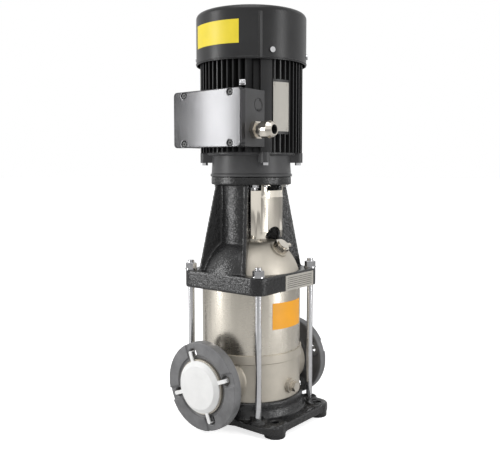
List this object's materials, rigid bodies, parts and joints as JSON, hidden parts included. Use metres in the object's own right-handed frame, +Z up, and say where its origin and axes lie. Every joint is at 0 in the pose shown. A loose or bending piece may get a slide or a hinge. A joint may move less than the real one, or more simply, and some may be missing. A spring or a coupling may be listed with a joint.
{
  "type": "vertical multistage pump",
  "caption": "Vertical in-line multistage centrifugal pump with finned electric motor, terminal box, coupling stool, tie bolts, loose port flanges and cast base.",
  "frame": {"origin": "on the pump axis at the floor the base stands on", "axes": "+Z up along the pump axis, +X along the ports towards the discharge, suction at -X, terminal box over the suction port"},
  "size_m": [0.3176, 0.264, 0.7845],
  "materials": {
    "cast_iron_black": "gloss black paint over cast iron",
    "flange_grey": "mid grey paint, satin",
    "stainless": "brushed stainless",
    "stainless_matte": "blasted stainless",
    "stainless_bright": "bright stainless sheet",
    "zinc": "zinc plated",
    "plug_white": "white polyethylene",
    "motor_charcoal": "satin charcoal paint",
    "lid_grey": "satin dark grey paint",
    "nickel": "nickel plated brass",
    "black_plastic": "black plastic",
    "seal_rubber": "black rubber",
    "copper": "enamelled copper",
    "laminations": "stacked electrical steel",
    "carbide": "dark ground carbide",
    "silver_plate": "anodised plate",
    "label_yellow": "yellow film",
    "label_orange": "orange film",
    "terminal_cream": "moulded terminal board"
  },
  "bodies": {
    "pump": {"base_plate": "cast_iron_black", "pump_chamber": "stainless_matte", "suction_stub": "stainless_matte", "discharge_stub": "stainless_matte", "outer_sleeve": "stainless", "sleeve_o_ring": "seal_rubber", "tie_bolts": "zinc", "tie_bolt_washers": "zinc", "tie_bolt_nuts": "zinc", "pump_cover": "stainless_matte", "motor_stool": "cast_iron_black", "motor_flange_bolts": "zinc", "seal_gland": "stainless", "seal_seat": "carbide", "coupling_guards": "stainless_bright", "guard_screws": "zinc", "stage_chamber_1": "stainless", "stage_chamber_2": "stainless", "stage_chamber_3": "stainless", "shaft_bushes": "carbide", "stack_straps": "stainless", "drive_end_shield": "motor_charcoal", "motor_frame": "motor_charcoal", "stator_core": "laminations", "windings": "copper", "ball_bearings": "zinc", "fan_end_shield": "motor_charcoal", "through_bolts": "zinc", "fan_cover": "motor_charcoal", "fan_cover_screws": "black_plastic", "terminal_box": "motor_charcoal", "terminal_box_lid": "lid_grey", "lid_gasket": "seal_rubber", "lid_screws": "black_plastic", "terminal_block": "terminal_cream", "gland_body": "nickel", "gland_nuts": "nickel", "gland_seal": "seal_rubber", "air_vent_body": "nickel", "motor_nameplate": "silver_plate", "stool_nameplate": "silver_plate", "plate_rivets": "silver_plate", "fan_cover_label": "label_yellow", "sleeve_label": "label_orange"},
    "rotor": {"motor_shaft": "zinc", "rotor_core": "laminations", "cooling_fan": "black_plastic", "coupling_halves": "cast_iron_black", "coupling_screws": "zinc", "pump_shaft": "stainless", "impeller_1": "stainless", "impeller_2": "stainless", "impeller_3": "stainless", "seal_ring": "stainless"},
    "suction_flange": {"suction_flange": "flange_grey"},
    "discharge_flange": {"discharge_flange": "flange_grey"},
    "suction_plug": {"suction_plug": "plug_white"},
    "discharge_plug": {"discharge_plug": "plug_white"},
    "vent_screw": {"air_vent_screw": "nickel"},
    "drain_plug": {"drain_plug": "nickel"}
  },
  "joints": [
    {"name": "shaft_spin", "type": "hinge", "parent": "pump", "child": "rotor", "pos_m": [0, 0, 0.41], "axis": [0, 0, 1], "continuous": true},
    {"name": "suction_flange_turn", "type": "hinge", "parent": "pump", "child": "suction_flange", "pos_m": [-0.14, 0, 0.09], "axis": [-1, 0, 0], "continuous": true},
    {"name": "discharge_flange_turn", "type": "hinge", "parent": "pump", "child": "discharge_flange", "pos_m": [0.14, 0, 0.09], "axis": [1, 0, 0], "continuous": true},
    {"name": "suction_plug_pull", "type": "slide", "parent": "suction_flange", "child": "suction_plug", "axis": [-1, 0, 0], "range_m": [0, 0.04]},
    {"name": "discharge_plug_pull", "type": "slide", "parent": "discharge_flange", "child": "discharge_plug", "axis": [1, 0, 0], "range_m": [0, 0.04]},
    {"name": "vent_screw_turn", "type": "hinge", "parent": "pump", "child": "vent_screw", "pos_m": [0.02, -0.07428, 0.34332], "axis": [1, 0, 0], "range_deg": [0, 360]},
    {"name": "drain_plug_turn", "type": "hinge", "parent": "pump", "child": "drain_plug", "pos_m": [-0.003, -0.11, 0.076], "axis": [0, -1, 0], "range_deg": [0, 360]}
  ]
}
